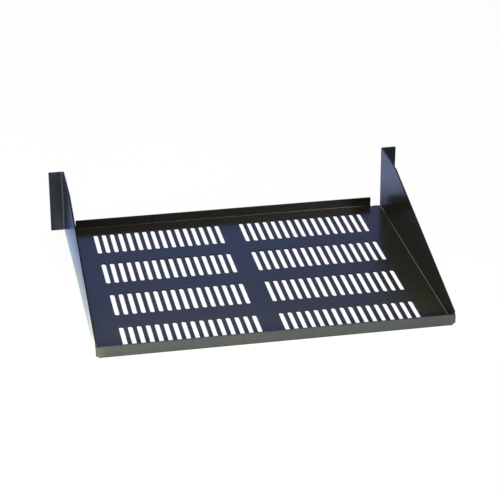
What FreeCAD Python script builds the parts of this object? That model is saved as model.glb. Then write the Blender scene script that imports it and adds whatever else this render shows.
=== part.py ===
import FreeCAD, Part
import math
import os

# Cantilever shelf for a 19 inch rack, folded from one steel blank.
# Millimetres. X runs across the rack, Y from the free edge to the ears, Z up.
# The origin is the middle of the footprint, on the underside of the floor.

# Sheet
sheet = 2.0
bend_inner = 1.0
corner_radius = 1.0
corner_relief = 1.4

# Envelope
ear_span = 482.6
width = 444.5
depth = 362.0
height = 88.6

# Side walls
wall_free_height = 17.4
wall_level_top = 76.2
knee_radius = 8.0
wall_end_gap = 0.4

# Lips
free_lip_height = 15.0
rack_lip_height = 14.2
rack_lip_end_gap = 12.5

# Vent slots
slot_width = 6.0
slot_length = 58.9
slot_end_flats = 8
slot_web = 5.11
row_web = 30.0
middle_band = 28.2
slot_side_margin = 30.0
slot_free_margin = 12.35
slot_rack_margin = 20.0

bend_outer = bend_inner + sheet
half_width = width / 2
free_y = -depth / 2
rack_y = depth / 2
free_bend_y = free_y + bend_outer
rack_bend_y = rack_y - bend_outer
rack_lip_half = half_width - sheet - rack_lip_end_gap


def on_xy(a, b):
    return FreeCAD.Vector(a, b, 0)


def on_xz(a, b):
    return FreeCAD.Vector(a, 0, b)


def on_yz(a, b):
    return FreeCAD.Vector(0, a, b)


# A flat closed outline from its sharp corners, each given as two coordinates
# and the radius that rounds it, or 0 where it stays sharp.
def outline(corners, plane):
    edges = []
    starts = []
    ends = []
    for i, (a, b, radius) in enumerate(corners):
        here = plane(a, b)
        if radius <= 0:
            starts.append(here)
            ends.append(here)
            continue
        before = plane(*corners[i - 1][:2]) - here
        after = plane(*corners[(i + 1) % len(corners)][:2]) - here
        half_angle = before.getAngle(after) / 2
        before.normalize()
        after.normalize()
        inward = before + after
        inward.normalize()
        run = radius / math.tan(half_angle)
        start = here + before * run
        end = here + after * run
        middle = here + inward * (radius / math.sin(half_angle) - radius)
        edges.append(Part.Arc(start, middle, end).toShape())
        starts.append(start)
        ends.append(end)
    for i in range(len(corners)):
        start = ends[i - 1]
        end = starts[i]
        if start.distanceToPoint(end) > 1e-6:
            edges.append(Part.makeLine(start, end))
    wire = Part.Wire(Part.__sortEdges__(edges))
    return Part.Face(wire)


def prism(face, start, end, direction):
    moved = face.copy()
    moved.translate(direction * start)
    return moved.extrude(direction * (end - start))


X = FreeCAD.Vector(1, 0, 0)
Y = FreeCAD.Vector(0, 1, 0)
Z = FreeCAD.Vector(0, 0, 1)


# Floor and side walls, bent up as one channel that runs from lip to ears.
def channel():
    inner = half_width - sheet
    section = outline([
        (-half_width, height, 0),
        (-half_width, 0, bend_outer),
        (half_width, 0, bend_outer),
        (half_width, height, 0),
        (inner, height, 0),
        (inner, sheet, bend_inner),
        (-inner, sheet, bend_inner),
        (-inner, height, 0),
    ], on_xz)
    body = prism(section, free_y + sheet + wall_end_gap, rack_bend_y, Y)

    # The walls are level near the ears, then fall in a straight line to the free edge.
    knee_y = rack_y - wall_level_top
    side = outline([
        (free_y, 0, 0),
        (rack_y, 0, 0),
        (rack_y, height, 0),
        (knee_y, height, knee_radius),
        (free_y, wall_free_height, 0),
    ], on_yz)
    body = body.common(prism(side, -half_width, half_width, X))

    # Under the walls' free ends the blank is cut back to the lip's bend line.
    cut_back = Part.makeBox(width, bend_outer, bend_outer, FreeCAD.Vector(-half_width, free_y, 0))
    return body.cut(cut_back)


# Lip turned up along the free edge. Its bend stops at the walls' bends, and the
# flat flange above it runs on to the outside of both walls.
def free_lip():
    section = outline([
        (free_y, bend_outer + corner_radius, 0),
        (free_y, 0, bend_outer),
        (free_bend_y + sheet, 0, 0),
        (free_bend_y + sheet, sheet, 0),
        (free_y + sheet, sheet, bend_inner),
        (free_y + sheet, bend_outer + corner_radius, 0),
    ], on_yz)
    bend_half = half_width - bend_outer
    bend = prism(section, -bend_half, bend_half, X)
    flange = outline([
        (-half_width, bend_outer, corner_radius),
        (half_width, bend_outer, corner_radius),
        (half_width, free_lip_height, corner_radius),
        (-half_width, free_lip_height, corner_radius),
    ], on_xz)
    return bend.fuse(prism(flange, free_y, free_y + sheet, Y))


# Lip turned up along the rack edge, between the ears. It stops short of each wall,
# so the press clears the ear's fold.
def rack_lip():
    section = outline([
        (rack_y, rack_lip_height, 0),
        (rack_y, 0, bend_outer),
        (rack_bend_y - sheet, 0, 0),
        (rack_bend_y - sheet, sheet, 0),
        (rack_y - sheet, sheet, bend_inner),
        (rack_y - sheet, rack_lip_height, 0),
    ], on_yz)
    front = outline([
        (-rack_lip_half, 0, 0),
        (rack_lip_half, 0, 0),
        (rack_lip_half, rack_lip_height, corner_radius),
        (-rack_lip_half, rack_lip_height, corner_radius),
    ], on_xz)
    lip = prism(section, -rack_lip_half, rack_lip_half, X)
    return lip.common(prism(front, free_y, rack_y, Y))


# Right ear, folded outwards from the wall. It starts above the floor's bend,
# and its face towards the free edge bears on the rack rail.
def ear():
    tip = ear_span / 2
    section = outline([
        (half_width - sheet, rack_bend_y - sheet, 0),
        (half_width - sheet, rack_y, bend_outer),
        (tip, rack_y, 0),
        (tip, rack_y - sheet, 0),
        (half_width, rack_y - sheet, bend_inner),
        (half_width, rack_bend_y - sheet, 0),
    ], on_xy)
    front = outline([
        (0, bend_outer, 0),
        (tip, bend_outer, corner_radius),
        (tip, height, corner_radius),
        (0, height, 0),
    ], on_xz)
    blank = prism(section, bend_outer, height, Z)
    return blank.common(prism(front, free_y, rack_y, Y))


def mirrored(shape):
    return shape.mirror(FreeCAD.Vector(0, 0, 0), X)


# Round punches where two bends meet, so that the sheet folds without tearing.
def reliefs():
    floor_punch = Part.makeCylinder(corner_relief, bend_outer, FreeCAD.Vector(0, 0, 0), Z)
    free_corner = floor_punch.copy()
    free_corner.translate(FreeCAD.Vector(half_width - bend_outer, free_bend_y, 0))
    lip_end = floor_punch.copy()
    lip_end.translate(FreeCAD.Vector(rack_lip_half + corner_relief, rack_bend_y, 0))
    ear_foot = Part.makeCylinder(
        corner_relief,
        2 * bend_outer,
        FreeCAD.Vector(half_width - bend_outer, rack_bend_y, bend_outer),
        X,
    )
    right = [free_corner, lip_end, ear_foot]
    return right + [mirrored(punch) for punch in right]


# Outline of one vent slot, long side along the depth. Each round end is a run of
# short flats, which at this size can't be told from an arc.
def slot_outline():
    end_radius = slot_width / 2
    straight = slot_length / 2 - end_radius
    corners = []
    for side in (1, -1):
        for i in range(slot_end_flats + 1):
            angle = math.pi * i / slot_end_flats
            across = end_radius * math.cos(angle)
            along = straight + end_radius * math.sin(angle)
            corners.append((side * across, side * along, 0))
    return outline(corners, on_xy)


# Vent slots in rows of two groups, with a plain band between the groups.
def vent_slots():
    slot_pitch = slot_width + slot_web
    row_pitch = slot_length + row_web
    first_x = (middle_band + slot_width) / 2
    last_x = half_width - bend_outer - slot_side_margin
    first_y = free_y + slot_free_margin + slot_length / 2
    last_y = rack_y - slot_rack_margin - slot_length / 2
    columns = int((last_x - first_x) / slot_pitch) + 1
    rows = int((last_y - first_y) / row_pitch) + 1
    punch = prism(slot_outline(), 0, sheet, Z)
    punches = []
    for row in range(rows):
        for column in range(columns):
            for side in (-1, 1):
                x = side * (first_x + column * slot_pitch)
                copy = punch.copy()
                copy.translate(FreeCAD.Vector(x, first_y + row * row_pitch, 0))
                punches.append(copy)
    return punches


right_ear = ear()
folded = channel().fuse([free_lip(), rack_lip(), right_ear, mirrored(right_ear)])
relieved = folded.cut(reliefs()).removeSplitter()
shelf = relieved.cut(vent_slots())

os.makedirs("parts", exist_ok=True)
shelf.exportStep("parts/shelf.step")
print("solids", len(shelf.Solids), "volume", round(shelf.Volume, 1))
print("box", shelf.BoundBox)
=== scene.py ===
import math

import bmesh
import bpy
from mathutils import Matrix, Vector


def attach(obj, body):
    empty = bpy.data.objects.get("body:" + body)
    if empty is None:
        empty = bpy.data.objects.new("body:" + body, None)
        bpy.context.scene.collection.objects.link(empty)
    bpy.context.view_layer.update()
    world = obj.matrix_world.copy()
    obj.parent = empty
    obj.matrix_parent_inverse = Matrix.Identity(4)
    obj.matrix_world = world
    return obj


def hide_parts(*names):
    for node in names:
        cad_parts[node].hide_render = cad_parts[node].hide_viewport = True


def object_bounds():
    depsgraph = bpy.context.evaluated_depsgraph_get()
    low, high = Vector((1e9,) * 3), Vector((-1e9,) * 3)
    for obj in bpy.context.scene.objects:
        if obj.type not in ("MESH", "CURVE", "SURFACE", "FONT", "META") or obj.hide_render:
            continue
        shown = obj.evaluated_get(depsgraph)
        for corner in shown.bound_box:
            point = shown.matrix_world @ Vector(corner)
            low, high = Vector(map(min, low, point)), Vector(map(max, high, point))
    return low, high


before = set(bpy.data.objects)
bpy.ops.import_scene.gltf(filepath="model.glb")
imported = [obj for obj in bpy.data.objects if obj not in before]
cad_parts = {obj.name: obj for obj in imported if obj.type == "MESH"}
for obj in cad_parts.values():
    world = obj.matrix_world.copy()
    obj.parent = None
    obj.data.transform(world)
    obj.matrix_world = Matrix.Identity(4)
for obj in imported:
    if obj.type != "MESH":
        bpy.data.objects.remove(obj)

solid_low, solid_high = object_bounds()


# Shelf: one sheet of steel with its vents punched, folded up on a press into two
# walls, two lips and two ears. A black powder coat is baked on over all of it in
# one go. It is semi-gloss with a fine grain, and softens every cut edge.
edge_round = 0.00015
sharp_turn = math.radians(50)
merge_gap = 1e-6

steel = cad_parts["shelf"]
shelf_form = bmesh.new()
shelf_form.from_mesh(steel.data)
bmesh.ops.remove_doubles(shelf_form, verts=shelf_form.verts, dist=merge_gap)

# The press closes the free lip's lower fold to a tighter outer radius than the
# drawing's. Each point of the round moves straight out from the fold's axis.
fold_radius = 0.003
tight_radius = 0.001
fold_slack = 0.0001


def tight_reach(part_y, part_z):
    reach = fold_radius / max(part_y, part_z)
    core = fold_radius - tight_radius
    if reach * min(part_y, part_z) > core:
        along = core * (part_y + part_z)
        reach = along + math.sqrt(along * along - 2 * core * core + tight_radius * tight_radius)
    return reach


axis_y = solid_low.y + fold_radius
axis_z = solid_low.z + fold_radius
for point in shelf_form.verts:
    out_y = axis_y - point.co.y
    out_z = axis_z - point.co.z
    reach = math.hypot(out_y, out_z)
    if min(out_y, out_z) > 0 and abs(reach - fold_radius) < fold_slack:
        part_y = out_y / reach
        part_z = out_z / reach
        new_reach = tight_reach(part_y, part_z)
        point.co.y = axis_y - new_reach * part_y
        point.co.z = axis_z - new_reach * part_z

# The fold also spreads the lip a little past both walls.
wall_start = 0.2190
lip_zone = 0.010
lip_spread = 0.0006

lip_stop = solid_low.y + lip_zone
for point in shelf_form.verts:
    if point.co.y < lip_stop and abs(point.co.x) > wall_start:
        point.co.x += math.copysign(lip_spread, point.co.x)

# Near the rack the walls lean in, so their feet stand further out than their tops.
lean_start = 0.020
lean_spread = 0.0011
ear_start = 0.2235

wall_parts = dict.fromkeys(
    part
    for face in shelf_form.faces if all(abs(corner.co.x) > wall_start for corner in face.verts)
    for part in (face, *face.edges, *face.verts)
)
bmesh.ops.bisect_plane(
    shelf_form, geom=list(wall_parts), dist=merge_gap,
    plane_co=(0, lean_start, 0), plane_no=(0, 1, 0),
)
for point in shelf_form.verts:
    if point.co.y > lean_start and wall_start < abs(point.co.x) < ear_start:
        rack_share = (point.co.y - lean_start) / (solid_high.y - lean_start)
        foot_share = 1 - point.co.z / solid_high.z
        point.co.x += math.copysign(lean_spread * rack_share * foot_share, point.co.x)

cut_edges = [
    edge for edge in shelf_form.edges
    if edge.is_manifold and edge.calc_face_angle() > sharp_turn
]
bmesh.ops.bevel(
    shelf_form, geom=cut_edges, offset=edge_round, offset_type="OFFSET", affect="EDGES",
    segments=2, profile=0.5, material=-1, clamp_overlap=True,
)
shelf_mesh = bpy.data.meshes.new("painted_shelf")
shelf_form.to_mesh(shelf_mesh)
shelf_form.free()
shelf_mesh.polygons.foreach_set("use_smooth", [True] * len(shelf_mesh.polygons))
shelf = bpy.data.objects.new("painted_shelf", shelf_mesh)
bpy.context.scene.collection.objects.link(shelf)
flatten = shelf.modifiers.new("flat_faces", "WEIGHTED_NORMAL")
flatten.mode = "FACE_AREA"
flatten.weight = 50


# Shader maths: a socket that adds, multiplies and mixes as a plain expression does.
class Value:
    def __init__(self, tree, socket):
        self.tree = tree
        self.socket = socket

    def node(self, kind, settings, inputs, output=0):
        made = self.tree.nodes.new(kind)
        for name, setting in settings.items():
            setattr(made, name, setting)
        for name, given in inputs.items():
            if isinstance(given, Value):
                self.tree.links.new(given.socket, made.inputs[name])
            else:
                made.inputs[name].default_value = given
        return Value(self.tree, made.outputs[output])

    def maths(self, operation, first, second=0.0):
        return self.node("ShaderNodeMath", {"operation": operation}, {0: first, 1: second})

    def __add__(self, other):
        return self.maths("ADD", self, other)

    def __sub__(self, other):
        return self.maths("SUBTRACT", self, other)

    def __mul__(self, other):
        return self.maths("MULTIPLY", self, other)

    def __rsub__(self, other):
        return self.maths("SUBTRACT", other, self)

    def __abs__(self):
        return self.maths("ABSOLUTE", self)

    __radd__ = __add__
    __rmul__ = __mul__

    def root(self):
        return self.maths("SQRT", self)

    def split(self):
        parts = self.node("ShaderNodeSeparateXYZ", {}, {0: self}).socket.node
        return [Value(self.tree, part) for part in parts.outputs]

    def ramp(self, limits, at_low, at_high):
        low, high = limits
        return self.node("ShaderNodeMapRange", {"clamp": True, "interpolation_type": "SMOOTHSTEP"}, {
            "Value": self, "From Min": low, "From Max": high, "To Min": at_low, "To Max": at_high,
        })

    def rising(self, limits):
        return self.ramp(limits, 0.0, 1.0)

    def falling(self, limits):
        return self.ramp(limits, 1.0, 0.0)

    def blend(self, first, second):
        return self.node("ShaderNodeMix", {"data_type": "RGBA"}, {
            "Factor": self, "A": first, "B": second,
        }, "Result")

    def shade(self, output_kind):
        end = self.tree.nodes.new(output_kind)
        self.tree.links.new(self.socket, end.inputs["Surface"])


def new_tree(owner):
    owner.use_nodes = True
    owner.node_tree.nodes.clear()
    return owner.node_tree


def source(tree, kind, output):
    return Value(tree, tree.nodes.new(kind).outputs[output])


# The coat's base is a warm near-black, a little uneven in tone and gloss. Along each
# ear's fold, on an upright line this far to the side and rear of the middle, it is
# painted lighter: a painted highlight that stands in for the fold's reflection.
coat_dark = (0.0090, 0.0080, 0.0049, 1)
coat_light = (0.0160, 0.0145, 0.0093, 1)
coat_fold_highlight = (0.078, 0.083, 0.100, 1)
fold_highlight_side = 0.2239
fold_highlight_rear = 0.1785
fold_highlight_edge = (0.0007, 0.0015)
grain_scale = 700.0
grain_contrast = (0.35, 0.65)
peel_scale = 260.0
drift_scale = 9.0
base_roughness = 0.19
drift_roughness = 0.06
grain_roughness = 0.05
relief_strength = 0.40
relief_depth = 0.0002
grain_share = 0.4
peel_share = 0.6
coat_ior = 1.5

coat = bpy.data.materials.new("black_powder_coat")
at = source(new_tree(coat), "ShaderNodeTexCoord", "Object")
grain = at.node("ShaderNodeTexNoise", {}, {"Vector": at, "Scale": grain_scale, "Detail": 2.0})
peel = at.node("ShaderNodeTexNoise", {}, {"Vector": at, "Scale": peel_scale, "Detail": 1.0})
drift = at.node("ShaderNodeTexNoise", {}, {"Vector": at, "Scale": drift_scale, "Detail": 2.0})
plain_coat = grain.rising(grain_contrast).blend(coat_dark, coat_light)
coat_x, coat_y = at.split()[:2]
from_side = abs(coat_x) - fold_highlight_side
from_rear = coat_y - fold_highlight_rear
from_fold_highlight = (from_side * from_side + from_rear * from_rear).root()
# Painted highlight: the coat is lightened along each ear's fold in place of its reflection.
coat_colour = from_fold_highlight.falling(fold_highlight_edge).blend(plain_coat, coat_fold_highlight)
relief = at.node("ShaderNodeBump", {}, {
    "Strength": relief_strength, "Distance": relief_depth,
    "Height": grain * grain_share + peel * peel_share,
})
paint = at.node("ShaderNodeBsdfPrincipled", {}, {
    "Base Color": coat_colour, "Normal": relief, "IOR": coat_ior,
    "Roughness": base_roughness + drift_roughness * drift + grain_roughness * grain,
})
paint.shade("ShaderNodeOutputMaterial")
shelf_mesh.materials.append(coat)

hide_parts("shelf")
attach(shelf, "root")


# Table: a plain pale sweep that the shelf stands on. To the camera it is white, with
# the shelf's soft shadow left on it. What the coat mirrors of it is blue cloth with
# painted shade and light on it: a painted shadow under and behind the shelf, painted
# shade beside both walls, and a painted pool of light at the left wall's foot, which glows a little.
white = (1, 1, 1, 1)
black = (0, 0, 0, 1)
lit_white = (0.95, 0.95, 0.95, 1)
table_reach = 4.0
table_gap = 0.0002
shadow_share = 0.08

table_mesh = bpy.data.meshes.new("table")
table_form = bmesh.new()
bmesh.ops.create_grid(table_form, x_segments=1, y_segments=1, size=table_reach)
bmesh.ops.translate(table_form, verts=table_form.verts, vec=(0, 0, solid_low.z - table_gap))
table_form.to_mesh(table_mesh)
table_form.free()
table = bpy.data.objects.new("table", table_mesh)
bpy.context.scene.collection.objects.link(table)

# The cloth's tones, its painted shadows and its painted light, and the limits between them across the rack
# and along the depth.
tone_around = (0.42, 0.51, 0.87, 1)
painted_shadow_beneath = (0.16, 0.19, 0.28, 1)
beneath_side = (0.21, 0.25)
beneath_free = (-0.20, -0.15)
beneath_rack = (0.17, 0.27)
tone_right = (0.30, 0.46, 0.88, 1)
painted_shade_right_free = (0.15, 0.16, 0.17, 1)
right_start = (0.24, 0.27)
right_rack_half = (-0.02, 0.05)
painted_shadow_left = (0.26, 0.43, 1.0, 1)
left_limit = (-0.225, -0.205)
painted_light_foot = (0.80, 0.94, 1.0, 1)
painted_light_foot_free = (1.0, 1.0, 1.0, 1)
painted_light_foot_rack = (0.62, 0.82, 1.0, 1)
foot_limit = (-0.240, -0.231)
foot_middle = (-0.16, 0.0)
foot_rack = (0.04, 0.14)
painted_glow_foot = (0.32, 0.37, 0.42, 1)
painted_glow_foot_rack = (0.43, 0.51, 0.67, 1)
tone_aside = (0.46, 0.50, 0.64, 1)
aside_left = (-0.32, -0.25)
aside_right = (0.30, 0.36)

table_finish = bpy.data.materials.new("pale_table")
table_tree = new_tree(table_finish)
table_seen = source(table_tree, "ShaderNodeLightPath", "Is Camera Ray")
table_mirrored = source(table_tree, "ShaderNodeLightPath", "Is Glossy Ray")
sideways, inwards = source(table_tree, "ShaderNodeTexCoord", "Object").split()[:2]

# Painted shadow: the mirrored cloth is darkened under the shelf and just behind its rack edge.
shadow_beneath_share = abs(sideways).falling(beneath_side) * inwards.rising(beneath_free) * inwards.falling(beneath_rack)
# Painted shade: right of the shelf, toward the free edge, the mirrored cloth is dark grey.
right_tone = inwards.rising(right_rack_half).blend(painted_shade_right_free, tone_right)
open_tone = sideways.rising(right_start).blend(tone_around, right_tone)
shadowed_tone = shadow_beneath_share.blend(open_tone, painted_shadow_beneath)
# Painted pool of light: at the left wall's foot the mirrored cloth is pale to white.
lit_free_tone = inwards.rising(foot_middle).blend(painted_light_foot_free, painted_light_foot)
lit_foot_tone = inwards.rising(foot_rack).blend(lit_free_tone, painted_light_foot_rack)
# Painted shade: further left of the wall the mirrored cloth is a darker blue.
left_tone = sideways.rising(foot_limit).blend(painted_shadow_left, lit_foot_tone)
near_tone = sideways.falling(left_limit).blend(shadowed_tone, left_tone)
aside = sideways.falling(aside_left) + sideways.rising(aside_right)
cloth_light_and_shade_tone = (aside * table_mirrored).blend(near_tone, tone_aside)
# Painted glow: the cloth at the left wall's foot emits light, though it is no lamp.
lit_foot_share = sideways.falling(left_limit) * sideways.rising(foot_limit)
painted_foot_glow = inwards.rising(foot_rack).blend(painted_glow_foot, painted_glow_foot_rack)
cloth = table_seen.node("ShaderNodeBsdfPrincipled", {}, {
    "Base Color": cloth_light_and_shade_tone, "Roughness": 1.0, "Specular IOR Level": 0.0,
    "Emission Color": lit_foot_share.blend(black, painted_foot_glow), "Emission Strength": 1.0,
})
lit = table_seen.node("ShaderNodeBsdfDiffuse", {}, {"Color": lit_white})
plain = table_seen.node("ShaderNodeEmission", {}, {"Color": white, "Strength": 1.0})
picture = table_seen.node("ShaderNodeMixShader", {}, {0: 1 - shadow_share, 1: lit, 2: plain})
surface = table_seen.node("ShaderNodeMixShader", {}, {0: table_seen, 1: cloth, 2: picture})
surface.shade("ShaderNodeOutputMaterial")
table_mesh.materials.append(table_finish)


# Backdrop: the soft studio that the coat mirrors, which gives the black its navy. The
# far side is blue cloth, pale at the horizon and dark overhead. Behind the camera it
# is dim, but for one tall bright window. The camera itself sees plain white.
horizon_pale = (0.74, 0.75, 0.80, 1)
far_blue = (0.26, 0.39, 0.93, 1)
overhead_dark = (0.05, 0.045, 0.035, 1)
left_glow = (2.2, 2.2, 2.3, 1)
near_dim = (0.10, 0.09, 0.07, 1)
window_glow = (16.0, 16.0, 15.6, 1)
fill_light = (0.36, 0.36, 0.36, 1)

# Limits between the tones, as shares of a direction across, away and upwards.
far_half = (-0.2, 0.3)
blue_left = (-0.20, 0.06)
blue_right = (0.274, 0.302)
blue_right_slant = 0.8
slant_height = 0.42
blue_bottom = (0.08, 0.30)
blue_top = (0.50, 0.66)
left_glow_side = (-0.40, -0.25)
left_glow_top = (0.25, 0.45)
window_left = (0.21, 0.24)
window_right = (0.28, 0.32)
window_bottom = (0.20, 0.45)
window_top = (0.90, 0.96)

studio = bpy.data.worlds.new("studio")
bpy.context.scene.world = studio
studio_tree = new_tree(studio)
studio_seen = source(studio_tree, "ShaderNodeLightPath", "Is Camera Ray")
studio_mirrored = source(studio_tree, "ShaderNodeLightPath", "Is Glossy Ray")
across, away, rise = source(studio_tree, "ShaderNodeTexCoord", "Generated").split()

slanted = across + blue_right_slant * (rise - slant_height)
left_part = across.rising(blue_left).blend(overhead_dark, far_blue)
blue_part = slanted.rising(blue_right).blend(left_part, overhead_dark)
low_part = rise.rising(blue_bottom).blend(horizon_pale, blue_part)
high_part = rise.rising(blue_top).blend(low_part, overhead_dark)
glow_share = across.falling(left_glow_side) * rise.falling(left_glow_top)
far_sky = glow_share.blend(high_part, left_glow)
window_width = across.rising(window_left) * across.falling(window_right)
window_share = window_width * rise.rising(window_bottom) * rise.falling(window_top)
near_sky = window_share.blend(near_dim, window_glow)
sky = away.rising(far_half).blend(near_sky, far_sky)
studio_tone = studio_seen.blend(studio_mirrored.blend(fill_light, sky), white)
backdrop = studio_tone.node("ShaderNodeBackground", {}, {"Color": studio_tone, "Strength": 1.0})
backdrop.shade("ShaderNodeOutputWorld")


# Lamps: a large soft box overhead, a low one in front and a weak one to the left, and
# a row of narrow strips close to the free lip. None of them shows in the picture or
# in the coat, and the row is stronger to the left, where the lip is lightest.
def soft_box(name, place, target, size, power, colour, spread=math.pi):
    data = bpy.data.lights.new(name, "AREA")
    data.shape = "RECTANGLE"
    data.size, data.size_y = size
    data.energy = power
    data.color = colour
    data.spread = spread
    lamp = bpy.data.objects.new(name, data)
    bpy.context.scene.collection.objects.link(lamp)
    lamp.location = place
    lamp.rotation_euler = (Vector(target) - Vector(place)).to_track_quat("-Z", "Y").to_euler()
    lamp.visible_camera = False
    lamp.visible_glossy = False


soft_box(
    "overhead_box", place=(-0.3, -0.1, 2.2), target=(0, 0, 0),
    size=(1.8, 1.8), power=40, colour=(1.0, 0.98, 0.95),
)
soft_box(
    "front_box", place=(-0.4, -1.3, 0.20), target=(0.05, 0.18, 0.0),
    size=(0.5, 0.3), power=9, colour=(0.96, 1.0, 1.0),
)
soft_box(
    "left_box", place=(-1.0, -0.2, 0.50), target=(0.20, 0.0, 0.0),
    size=(0.5, 0.5), power=1.0, colour=(1.0, 1.0, 1.0),
)

strip_count = 4
strip_size = (0.14, 0.05)
strip_y = -0.37
strip_z = 0.08
strip_power = 0.142
strip_power_slope = 0.11
lip_y = -0.18
lip_z = 0.005
for strip in range(strip_count):
    strip_x = (strip - (strip_count - 1) / 2) * strip_size[0]
    soft_box(
        "front_strip", place=(strip_x, strip_y, strip_z), target=(strip_x, lip_y, lip_z),
        size=strip_size, power=strip_power - strip_power_slope * strip_x,
        colour=(0.92, 1.0, 0.67), spread=math.radians(26),
    )


# Viewpoint: the shelf is seen from in front of its free edge, from the left and
# above, through a long lens, with the ears at the far side.
camera_place = Vector((-0.40941, -2.07513, 1.06970))
camera_turn = math.radians(11.157)
camera_dip = math.radians(26.020)
camera_roll = math.radians(0.120)
camera_lens = 131.06

ahead = Vector((
    math.sin(camera_turn) * math.cos(camera_dip),
    math.cos(camera_turn) * math.cos(camera_dip),
    -math.sin(camera_dip),
))
level = Vector((math.cos(camera_turn), -math.sin(camera_turn), 0))
upright = level.cross(ahead)
right = math.cos(camera_roll) * level + math.sin(camera_roll) * upright
up = right.cross(ahead)

camera_data = bpy.data.cameras.new("camera")
camera_data.lens = camera_lens
camera_data.sensor_width = 36
camera_data.clip_end = 20
camera = bpy.data.objects.new("camera", camera_data)
bpy.context.scene.collection.objects.link(camera)
camera.matrix_world = Matrix((
    (right.x, up.x, -ahead.x, camera_place.x),
    (right.y, up.y, -ahead.y, camera_place.y),
    (right.z, up.z, -ahead.z, camera_place.z),
    (0, 0, 0, 1),
))
bpy.context.scene.camera = camera
bpy.context.scene.view_settings.view_transform = "Standard"
